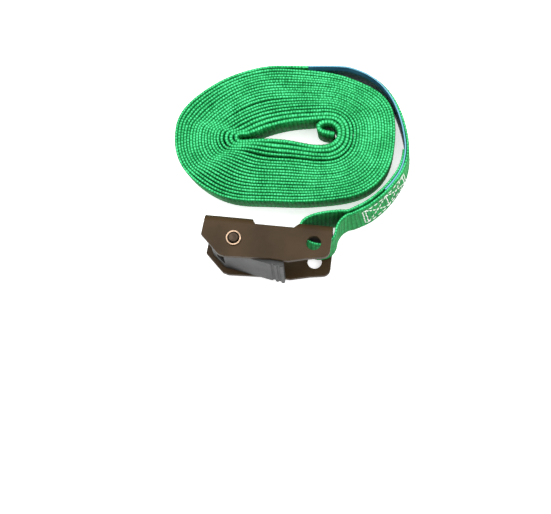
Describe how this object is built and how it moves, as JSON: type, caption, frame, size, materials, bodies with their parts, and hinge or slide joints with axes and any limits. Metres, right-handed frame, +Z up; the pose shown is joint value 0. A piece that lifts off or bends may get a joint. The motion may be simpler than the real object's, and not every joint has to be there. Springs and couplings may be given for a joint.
{
  "type": "cam buckle strap",
  "caption": "Webbing tie-down strap coiled on edge, with a sewn eye holding a bent steel frame and a spring-loaded cam lever.",
  "frame": {"origin": "middle of the footprint, on the surface that the coil stands on", "axes": "+X along the buckle from its open end to the sewn eye; +Y from the buckle towards the coil; +Z up, along the webbing's width in the coil"},
  "size_m": [0.1132, 0.108, 0.037],
  "materials": {
    "green_webbing": "woven polyester, matte",
    "blue_label": "printed tape, matte",
    "white_thread": "sewing thread",
    "black_paint": "satin brown-black paint",
    "charcoal_casting": "satin charcoal paint on a casting",
    "plated_steel": "dull dark plating",
    "spring_steel": "bright wire"
  },
  "bodies": {
    "webbing": {"webbing_coil": "green_webbing", "webbing_free_end": "green_webbing", "webbing_lead": "green_webbing", "webbing_fold_back": "green_webbing", "label": "blue_label", "box_stitching": "white_thread"},
    "buckle": {"buckle_frame": "black_paint", "pivot_rivet": "plated_steel", "rivet_washer": "plated_steel", "webbing_eye": "green_webbing"},
    "cam": {"cam_lever": "charcoal_casting", "torsion_spring": "spring_steel"}
  },
  "joints": [
    {"name": "buckle_swing", "type": "hinge", "parent": "webbing", "child": "buckle", "pos_m": [0.03139, -0.02067, 0.01423], "axis": [0, 0.2113, 0.9774], "range_deg": [-4, 35]},
    {"name": "cam_pivot", "type": "hinge", "parent": "buckle", "child": "cam", "pos_m": [-0.02241, -0.04002, 0.01842], "axis": [0, 0.2113, 0.9774], "range_deg": [0, 30], "stiffness_Nm_per_rad": 0.3, "springref_deg": -28.65, "deforming": ["torsion_spring"]}
  ]
}
